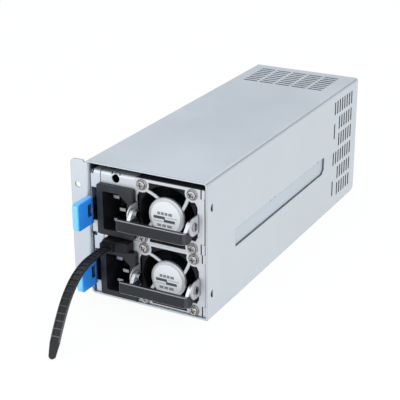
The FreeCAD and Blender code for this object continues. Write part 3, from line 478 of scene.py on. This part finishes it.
def lid(name, colour, cover):
    """The zinc-plated lid of a module, with a black band of painted shade across its front."""
    shade_band_end = own_place(cover, Vector(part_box(cover)[0])).y + SHADE_BAND_DEPTH
    shader = Shader(name, colour, roughness=ZINC_ROUGHNESS)
    cloud = shader.noise(ZINC_CLOUDS, 3)
    band_grain = shader.noise(1800, 2)
    # painted shade: the lid's front, under the cage's cover, is a black band
    zinc_share = shader.ramp(shader.axes()["Y"], 0, 1, shade_band_end - SHADE_BAND_FADE, shade_band_end)
    shade_band = shader.tint(band_grain, (0.010, 0.011, 0.018), (0.022, 0.024, 0.036))
    shader.feed("Base Color", shader.blend(zinc_share, shade_band, cloudy(shader, cloud, colour)))
    shader.feed("Metallic", shader.ramp(zinc_share, 0, ZINC_METALLIC, 0, 1))
    shader.feed("Roughness", shader.ramp(zinc_share, 0.85, ZINC_ROUGHNESS, 0, 1))
    lines = shader.noise(ZINC_LINES, 2, (1, LINE_STRETCH, 1))
    shader.bump(lines, 0.10, 0.03 * MM, 0.3 * MM)
    return shader.material


# ---------------------------------------------------------------- plastics and small metal

# noise scales in cells per metre: the grain of moulded plastic, its patches, and wear on metal
GRAIN = 2600
PATCHES = 120
WEAR = 350

# the heights between which the painted highlight on the strap's ridges fades, from full to none
HIGHLIGHT_FULL_BELOW = 10 * MM
HIGHLIGHT_GONE_ABOVE = 34 * MM

# how far the bare eyes of a handle's arms reach below its top, and how sharply they end
EYE_HEIGHT = 4.4 * MM
EYE_FADE = 0.1 * MM


def plastic(name, colour, roughness, grain=0.25, specular=0.5):
    """Moulded plastic with a fine eroded texture and soft edges."""
    shader = Shader(name, colour, roughness=roughness)
    shader.specular(specular)
    texture = shader.noise(GRAIN, 3)
    patches = shader.noise(PATCHES, 2)
    shader.feed("Base Color", shader.tint(patches, lighter(colour, -0.12), lighter(colour, 0.01)))
    shader.feed("Roughness", shader.ramp(patches, roughness - 0.05, roughness + 0.06))
    shader.bump(texture, grain, 0.05 * MM, 0.3 * MM)
    return shader.material


def strap_ridges(name, ridge_black, ridge_highlight):
    """Nylon ridges with a painted highlight, growing towards the free end, which is the low one."""
    shader = Shader(name, ridge_black, roughness=0.4)
    shader.specular(0.35)
    # painted highlight on the ridges, full low down and none high up
    wear_and_highlight = shader.ramp(shader.axes()["Z"], 1, 0, HIGHLIGHT_FULL_BELOW, HIGHLIGHT_GONE_ABOVE)
    shader.feed("Base Color", shader.blend(wear_and_highlight, ridge_black, ridge_highlight))
    shader.bump(shader.noise(GRAIN, 3), 0.1, 0.04 * MM, 0.2 * MM)
    return shader.material


def latch_plastic(name, colour, lit_colour, shaded_colour):
    """Plastic with painted light on its front and top faces, and painted shade in its pocket."""
    shader = Shader(name, colour, roughness=0.34)
    facing = shader.axes("Normal")
    # painted light on the front and top faces
    front = shader.ramp(facing["Y"], 0.8, 0, -0.95, -0.5)
    top = shader.ramp(facing["Z"], 0, 0.45, 0.5, 0.95)
    shade = shader.blend(shader.math("MAXIMUM", front, top), colour, lit_colour)
    # painted shade in the pocket
    pocket_shade = shader.shut_in(5 * MM, 0.45, 0.78)
    shader.feed("Base Color", shader.blend(pocket_shade, shade, shaded_colour))
    shader.bump(shader.noise(GRAIN, 3), 0.1, 0.04 * MM, 0.6 * MM)
    return shader.material


def metal(name, colour, roughness):
    """Plated or bare metal of a small piece, with fine wear."""
    shader = Shader(name, colour, metallic=1.0, roughness=roughness)
    wear_and_highlight = shader.noise(WEAR, 4)
    shader.feed("Base Color", shader.tint(wear_and_highlight, lighter(colour, -0.15), lighter(colour, 0.12)))
    shader.feed("Roughness", shader.ramp(wear_and_highlight, roughness - 0.08, roughness + 0.10))
    shader.bump(wear_and_highlight, 0.15, 0.05 * MM, 0.2 * MM)
    return shader.material


def blade(name, bright, side_shade):
    """A contact blade: a painted highlight in the middle of its tip, and painted shade on its
    sides.
    """
    shader = Shader(name, bright, metallic=1.0, roughness=0.3)
    # painted highlight on the middle of the tip, and painted shade everywhere else
    tip_highlight = shader.ramp(shader.axes("Normal")["Y"], 1, 0, -0.95, -0.6)
    middle = shader.math("SUBTRACT", 1.0, shader.edge(0.7 * MM))
    shader.feed("Base Color", shader.blend(shader.math("MULTIPLY", tip_highlight, middle), side_shade, bright))
    shader.bump(shader.noise(WEAR, 4), 0.15, 0.05 * MM, 0.3 * MM)
    return shader.material


def bail(name, black, bright, rim_highlight, handle):
    """A black coated grip with a painted highlight on its rounded rims; the eyes of its arms, at
    the top, are bare and bright.
    """
    eye_foot = own_place(handle, Vector(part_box(handle)[1])).z - EYE_HEIGHT
    shader = Shader(name, black, roughness=0.36)
    shader.specular(0.4)
    eye = shader.ramp(shader.axes()["Z"], 0, 1, eye_foot - EYE_FADE, eye_foot + EYE_FADE)
    facing = shader.axes("Normal")

    def slanted(axis, strength):
        """The grip's rounded rims, which neither lie along an axis nor face it."""
        slant = shader.math("ABSOLUTE", facing[axis])
        rising = shader.ramp(slant, 0, strength, 0.3, 0.5)
        return shader.math("MULTIPLY", rising, shader.ramp(slant, 1, 0, 0.85, 0.97))

    # painted highlight on the grip's rounded rims and, faintly, on its rounded corners
    wear_and_highlight = shader.math("MAXIMUM", slanted("Z", 1.0), slanted("X", 0.12))
    shader.feed("Base Color", shader.blend(eye, shader.blend(wear_and_highlight, black, rim_highlight), bright))
    shader.feed("Metallic", eye)
    shader.bump(shader.noise(GRAIN, 3), 0.12, 0.04 * MM, 0.3 * MM)
    return shader.material


# ---------------------------------------------------------------- labels, boards and windings

LABEL_COLOUR = (0.74, 0.76, 0.78)
INK_COLOUR = (0.02, 0.02, 0.022)

# plain marks in the place of the label's print, in millimetres from its middle:
# left, right, foot, top and how dark
LABEL_MARKS = [
    (-5.2, -3.4, 1.0, 2.7, 0.75),
    (-2.9, -1.1, 1.0, 2.7, 0.75),
    (-0.6, 1.2, 1.0, 2.7, 0.75),
    (1.7, 4.0, 1.0, 2.7, 0.75),
    (-7.6, -0.4, -1.5, 0.2, 0.92),
    (-1.2, 5.8, -3.1, -1.4, 0.92),
    (0.4, 7.2, -0.5, 0.2, 0.35),
    (-8.0, -1.8, -3.1, -2.5, 0.35),
    (-5.4, -2.8, -6.0, -4.4, 0.7),
    (-2.2, 0.2, -6.0, -4.4, 0.7),
    (0.8, 3.8, -6.0, -4.4, 0.7),
]


def label_print(name, label):
    """A matt white label with plain marks, placed from its middle."""
    low, high = (Vector(corner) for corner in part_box(label))
    middle = own_place(label, (low + high) / 2)
    shader = Shader(name, LABEL_COLOUR, roughness=0.5)
    parts = shader.axes()
    across = shader.math("SUBTRACT", parts["X"], middle.x)
    upright = shader.math("SUBTRACT", parts["Z"], middle.z)

    def within(value, start, end):
        return shader.math("COMPARE", value, (start + end) / 2 * MM, (end - start) / 2 * MM)

    ink = None
    for left, right, foot, top, dark in LABEL_MARKS:
        inside = shader.math("MULTIPLY", within(across, left, right), within(upright, foot, top))
        mark = shader.math("MULTIPLY", inside, dark)
        ink = mark if ink is None else shader.math("MAXIMUM", ink, mark)
    shader.feed("Base Color", shader.blend(ink, LABEL_COLOUR, INK_COLOUR))
    return shader.material


def board(name, colour):
    """Solder mask with the hint of tracks under it."""
    shader = Shader(name, colour, roughness=0.35)
    tracks = shader.node("TexVoronoi", Vector=shader.place((1, 1, 0.2)), Scale=220)
    tracks.feature = "DISTANCE_TO_EDGE"
    distance = tracks.outputs["Distance"]
    shader.feed("Base Color", shader.tint(distance, lighter(colour, 0.10), colour, 0.0, 0.05))
    shader.bump(distance, 0.2, 0.05 * MM)
    return shader.material


def winding(name, colour, spacing):
    """Enamelled wire: fine parallel ridges."""
    shader = Shader(name, colour, metallic=0.7, roughness=0.35)
    waves = shader.node("TexWave", Vector=shader.place((1, 1, 1)), Scale=spacing, Distortion=0.3)
    ridge = waves.outputs["Fac"]
    shader.feed("Base Color", shader.tint(ridge, lighter(colour, -0.5), lighter(colour, 0.2)))
    shader.bump(ridge, 0.6, 0.2 * MM)
    return shader.material


# ---------------------------------------------------------------- what each node is made of

ZINC = (0.62, 0.67, 0.715)
PLATE_ZINC = (0.62, 0.65, 0.68)
CASE_ZINC = (0.60, 0.665, 0.73)
LID_ZINC = (0.61, 0.66, 0.715)
RAIL_ZINC = (0.565, 0.635, 0.70)
BLACK = (0.009, 0.0095, 0.014)
BARE_EYE = (0.66, 0.68, 0.70)
RIM_HIGHLIGHT = (0.27, 0.27, 0.29)
LATCH_BLUE = (0.027, 0.295, 0.92)
LATCH_PAINTED_LIGHT = (0.22, 0.66, 1.0)
LATCH_PAINTED_SHADE = (0.004, 0.03, 0.16)

# the material of each node; a module's own nodes are named without the module,
# and {} stands for the module where each has a material of its own
FINISH = {
    "cage_cover": "sheet",
    "cage_base": "base",
    "cage_rear": "sheet",
    "cable_bushing": "inlet",
    "middle_rails": "rail",
    "floor_guides": "rail",
    "backplane_board": "board",
    "backplane_brackets": "rail",
    "board_screws": "nickel",
    "backplane_connectors": "connector",
    "output_headers": "header",
    "tie_head": "clip",
    "tie_strap": "strap",
    "front_plate": "front",
    "case_base": "case",
    "case_cover": "{}_lid",
    "inlet_body": "inlet",
    "inlet_pins": "contact",
    "fan_frame": "fan",
    "fan_rotor": "fan",
    "fan_screws": "nickel",
    "guard_label": "{}_label",
    "handle": "{}_handle",
    "handle_rivets": "nickel",
    "latch_spring": "spring",
    "latch_tab": "latch",
    "latch_pin": "spring",
    "main_board": "board",
    "edge_contacts": "gold",
    "bulk_capacitor": "sleeve",
    "line_filter": "copper",
    "transformer": "ferrite",
    "heat_sinks": "aluminium",
    "output_capacitors": "sleeve",
}


def make_materials():
    corners = cage_corners()
    made = {
        "sheet": zinc("zinc_sheet", ZINC, 1, inside=(*corners, 0)),
        "base": zinc("base_sheet", ZINC, 1, inside=(*corners, BASE_FRONT_EDGE)),
        "front": zinc("front_sheet", PLATE_ZINC, 0, 0.5, crevice=1.2 * MM),
        "case": zinc("case_sheet", CASE_ZINC, 0, 0.5, crevice=1.2 * MM),
        "rail": zinc("rail_sheet", RAIL_ZINC, 1, crevice=3 * MM),
        "spring": metal("spring_steel", (0.42, 0.44, 0.47), 0.35),
        "nickel": metal("nickel_plate", (0.44, 0.43, 0.41), 0.16),
        "gold": metal("gold_flash", (0.86, 0.62, 0.22), 0.25),
        "aluminium": metal("cooler_aluminium", (0.70, 0.71, 0.73), 0.38),
        # the tip's painted highlight, and the painted shade on the sides
        "contact": blade("contact_metal", (0.34, 0.34, 0.35), (0.02, 0.02, 0.023)),
        "inlet": plastic("inlet_black", BLACK, 0.45, specular=0.4),
        "fan": plastic("fan_black", (0.0030, 0.0034, 0.0065), 0.55, 0.1, 0.15),
        "connector": plastic("connector_black", (0.02, 0.02, 0.02), 0.5),
        "header": plastic("header_nylon", (0.70, 0.69, 0.62), 0.45),
        "strap": plastic("strap_nylon", (0.005, 0.005, 0.007), 0.42, 0.1, 0.3),
        "clip": plastic("clip_nylon", (0.003, 0.003, 0.004), 0.45, 0.1, 0.2),
        "sleeve": plastic("capacitor_sleeve", (0.02, 0.03, 0.09), 0.3, 0.05),
        "ferrite": plastic("ferrite_black", (0.05, 0.05, 0.055), 0.6),
        # the ridges' black, and their painted highlight
        "ridge": strap_ridges("strap_ridges", (0.010, 0.010, 0.012), (0.095, 0.095, 0.10)),
        "latch": latch_plastic("latch_blue", LATCH_BLUE, LATCH_PAINTED_LIGHT, LATCH_PAINTED_SHADE),
        "board": board("board_green", (0.015, 0.13, 0.05)),
        "copper": winding("copper_winding", (0.55, 0.24, 0.09), 300),
    }
    for module in MODULES:
        handle = f"{module}_handle"
        made[f"{module}_lid"] = lid(f"{module}_lid", LID_ZINC, f"{module}_case_cover")
        made[handle] = bail(f"{module}_bail", BLACK, BARE_EYE, RIM_HIGHLIGHT, handle)
        made[f"{module}_label"] = label_print(f"{module}_label", f"{module}_guard_label")
    return made


def paint(materials):
    """Gives every CAD node the material of what it is."""
    for name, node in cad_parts.items():
        module, _, rest = name.partition("_")
        key = rest if module in MODULES else name
        node.data.materials.clear()
        node.data.materials.append(materials[FINISH[key].format(module)])


# ---------------------------------------------------------------- the strap

def strap_place(along, height):
    """A place on the strap's upright plane, from millimetres along its heading and up."""
    turn = math.radians(STRAP_HEADING)
    x = STRAP_START[0] + along * MM * math.sin(turn)
    y = STRAP_START[1] - along * MM * math.cos(turn)
    return Vector((x, y, height * MM))


def strap_line():
    """Points along the strap's smooth middle line."""
    curve = bpy.data.curves.new("strap_line", "CURVE")
    curve.dimensions = "3D"
    curve.resolution_u = LINE_STEPS
    spline = curve.splines.new("NURBS")
    spline.points.add(len(STRAP_ROUTE) - 1)
    for point, (along, height) in zip(spline.points, STRAP_ROUTE):
        point.co = (*strap_place(along, height), 1)
    spline.order_u = 3
    spline.use_endpoint_u = True
    holder = bpy.data.objects.new("strap_line", curve)
    bpy.context.scene.collection.objects.link(holder)
    mesh = bpy.data.meshes.new_from_object(holder)
    line = [vertex.co.copy() for vertex in mesh.vertices]
    bpy.data.objects.remove(holder)
    bpy.data.meshes.remove(mesh)
    return line


class Track:
    """Turns (distance along, sideways, up) of a flat strip into a place on a bent one."""

    def __init__(self, line, across):
        self.line = line
        self.across = across
        self.reached = [0.0]
        for a, b in zip(line, line[1:]):
            self.reached.append(self.reached[-1] + (b - a).length)
        self.length = self.reached[-1]

    def place(self, distance, side, up):
        i = 1
        while i < len(self.line) - 1 and self.reached[i] < distance:
            i += 1
        start, end = self.line[i - 1], self.line[i]
        share = (distance - self.reached[i - 1]) / (self.reached[i] - self.reached[i - 1])
        ahead = (end - start).normalized()
        normal = self.across.cross(ahead).normalized()
        if normal.z < 0:
            normal = -normal
        return start.lerp(end, share) + self.across * side + normal * up


def strip_ring(mesh, track, distance, left, right, foot, top):
    """The four corners of a strip's section, at a distance along the track."""
    corners = ((left, foot), (right, foot), (right, top), (left, top))
    return [mesh.verts.new(track.place(distance, side, up)) for side, up in corners]


def strip_run(mesh, rings, slot=0):
    """Joins rings of four corners into a closed strip, in one of the piece's material slots."""
    faces = [mesh.faces.new(reversed(rings[0])), mesh.faces.new(rings[-1])]
    for a, b in zip(rings, rings[1:]):
        for i in range(4):
            faces.append(mesh.faces.new((a[i], a[(i + 1) % 4], b[(i + 1) % 4], b[i])))
    for face in faces:
        face.material_index = slot


def strip_block(mesh, track, start, end, sides, heights, steps, slot=0):
    """A closed block of a strip between two distances, bent along the track."""
    rings = []
    for i in range(steps + 1):
        distance = start + (end - start) * i / steps
        rings.append(strip_ring(mesh, track, distance, *sides, *heights))
    strip_run(mesh, rings, slot)


def strap_tip(mesh, track, start, heights):
    """The strap's plain end, which narrows and has a rounded nose."""
    half = STRAP_WIDTH / 2
    nose = NOSE_SHARE * half
    rings = []
    for i in range(TIP_STEPS + 1):
        distance = start + TIP_LENGTH * i / TIP_STEPS
        left = track.length - distance
        reach = half * (TIP_NARROWS_TO + (1 - TIP_NARROWS_TO) * left / TIP_LENGTH)
        if left < nose:
            reach *= math.sqrt(max(1 - (1 - left / nose) ** 2, NOSE_LEAST))
        rings.append(strip_ring(mesh, track, distance, -reach, reach, *heights))
    strip_run(mesh, rings)


def add_strap(material, ridges):
    """Strap with two raised rails, a thin web between them, ribs across and a plain pointed tip."""
    line = strap_line()
    turn = math.radians(STRAP_HEADING)
    track = Track(line, Vector((math.cos(turn), math.sin(turn), 0)))
    mesh = bmesh.new()
    outer = STRAP_WIDTH / 2
    inner = outer - RAIL_WIDTH
    web = (-inner, inner)
    foot, top = -STRAP_THICKNESS / 2, STRAP_THICKNESS / 2
    end = track.length - TIP_LENGTH
    for rail in ((-outer, -inner), (inner, outer)):
        strip_block(mesh, track, 0, end, rail, (foot, top), RAIL_STEPS, 1)
    strip_block(mesh, track, 0, end, web, (foot + WEB_ABOVE_FOOT, 0), RAIL_STEPS)
    strip_block(mesh, track, 0, STRAP_FULL_STRETCH, web, (0, top), FULL_STEPS)
    for i in range(int((end - STRAP_FULL_STRETCH) / RIB_PITCH)):
        rib = STRAP_FULL_STRETCH + (i + RIB_FIRST) * RIB_PITCH
        heights = (0, top - RIB_BELOW_RAILS)
        strip_block(mesh, track, rib, rib + RIB_LENGTH, web, heights, RIB_STEPS, 1)
    strap_tip(mesh, track, end, (foot, top))
    bmesh.ops.recalc_face_normals(mesh, faces=mesh.faces)
    strap = new_piece("strap", mesh, material)
    strap.data.materials.append(ridges)
    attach(strap, "module_lower")
    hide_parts("tie_strap")


# ---------------------------------------------------------------- the fans' screws

def cross_outline(reach, half):
    """The twelve corners of a cross, in order round it."""
    quarter = [(reach, -half), (reach, half), (half, half)]
    corners = []
    for turns in range(4):
        for a, b in quarter:
            for _ in range(turns):
                a, b = -b, a
            corners.append((a, b))
    return corners


def add_screw(mesh, place, twist):
    """A pan-head screw with a cross recess; its head faces -Y from the place of its seat."""
    cosine, sine = math.cos(twist), math.sin(twist)

    def vert(a, b, out):
        x, z = a * cosine - b * sine, a * sine + b * cosine
        return mesh.verts.new((place.x + x, place.y - out, place.z + z))

    def ring(radius, out):
        turns = [2 * math.pi * (i + 0.5) / SCREW_SEGMENTS for i in range(SCREW_SEGMENTS)]
        return [vert(radius * math.cos(t), radius * math.sin(t), out) for t in turns]

    def skin(first, second):
        count = len(first)
        for i in range(count):
            j = (i + 1) % count
            mesh.faces.new((first[i], first[j], second[j], second[i]))

    rings = [
        ring(SHANK_RADIUS * SHANK_END_SHARE, -SHANK_LENGTH),
        ring(SHANK_RADIUS, -SHANK_LENGTH + SHANK_CHAMFER),
        ring(SHANK_RADIUS, 0),
    ]
    for across, out in SCREW_HEAD:
        rings.append(ring(across * SCREW_RADIUS, out * SCREW_HEIGHT))
    mesh.faces.new(rings[0])
    for first, second in zip(rings, rings[1:]):
        skin(first, second)

    outline = cross_outline(RECESS_REACH, RECESS_HALF_WIDTH)
    brim = [vert(a, b, SCREW_HEIGHT) for a, b in outline]
    outline = cross_outline(RECESS_FLOOR_REACH, RECESS_FLOOR_HALF_WIDTH)
    floor = [vert(a, b, SCREW_HEIGHT - RECESS_DEPTH) for a, b in outline]
    skin(brim, floor)
    mesh.faces.new(floor)

    # the crown's flat joins the last ring to the recess: one face in each of the cross's inner
    # corners, and one at the end of each arm
    top = rings[-1]
    quarter = SCREW_SEGMENTS // 4
    for side in range(4):
        start = side * quarter
        arm = side * 3
        arc = top[start + 1:start + quarter - 1]
        corner = [brim[(arm + 3) % 12], brim[arm + 2], brim[arm + 1]]
        mesh.faces.new(arc + corner)
        end = [top[(start + k) % SCREW_SEGMENTS] for k in (-2, -1, 0, 1)]
        mesh.faces.new(end + [brim[arm + 1], brim[arm]])


def add_screws(module, material):
    """The four screws of one fan, at the corners of their CAD node's box."""
    low, high = (Vector(corner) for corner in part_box(f"{module}_fan_screws"))
    seat = low.y + SCREW_HEIGHT
    xs = (low.x + SCREW_RADIUS, high.x - SCREW_RADIUS)
    zs = (low.z + SCREW_RADIUS, high.z - SCREW_RADIUS)
    mesh = bmesh.new()
    for i, (x, z) in enumerate((x, z) for x in xs for z in zs):
        twist = SCREW_TWIST[module] + SCREW_TWIST_STEP * i
        add_screw(mesh, Vector((x, seat, z)), twist)
    bmesh.ops.recalc_face_normals(mesh, faces=mesh.faces)
    screws = new_piece(f"{module}_pan_screws", mesh, material)
    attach(screws, f"module_{module}")
    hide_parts(f"{module}_fan_screws")


def new_piece(name, mesh, material):
    """An object from a bmesh, with its material."""
    data = bpy.data.meshes.new(name)
    mesh.to_mesh(data)
    mesh.free()
    data.materials.append(material)
    piece = bpy.data.objects.new(name, data)
    bpy.context.scene.collection.objects.link(piece)
    return piece


# ---------------------------------------------------------------- the scene

def main():
    bpy.context.scene.view_settings.view_transform = "Standard"
    add_camera()
    add_world()
    add_lights()
    add_floor()
    materials = make_materials()
    paint(materials)
    add_strap(materials["strap"], materials["ridge"])
    for module in MODULES:
        add_screws(module, materials["nickel"])


main()
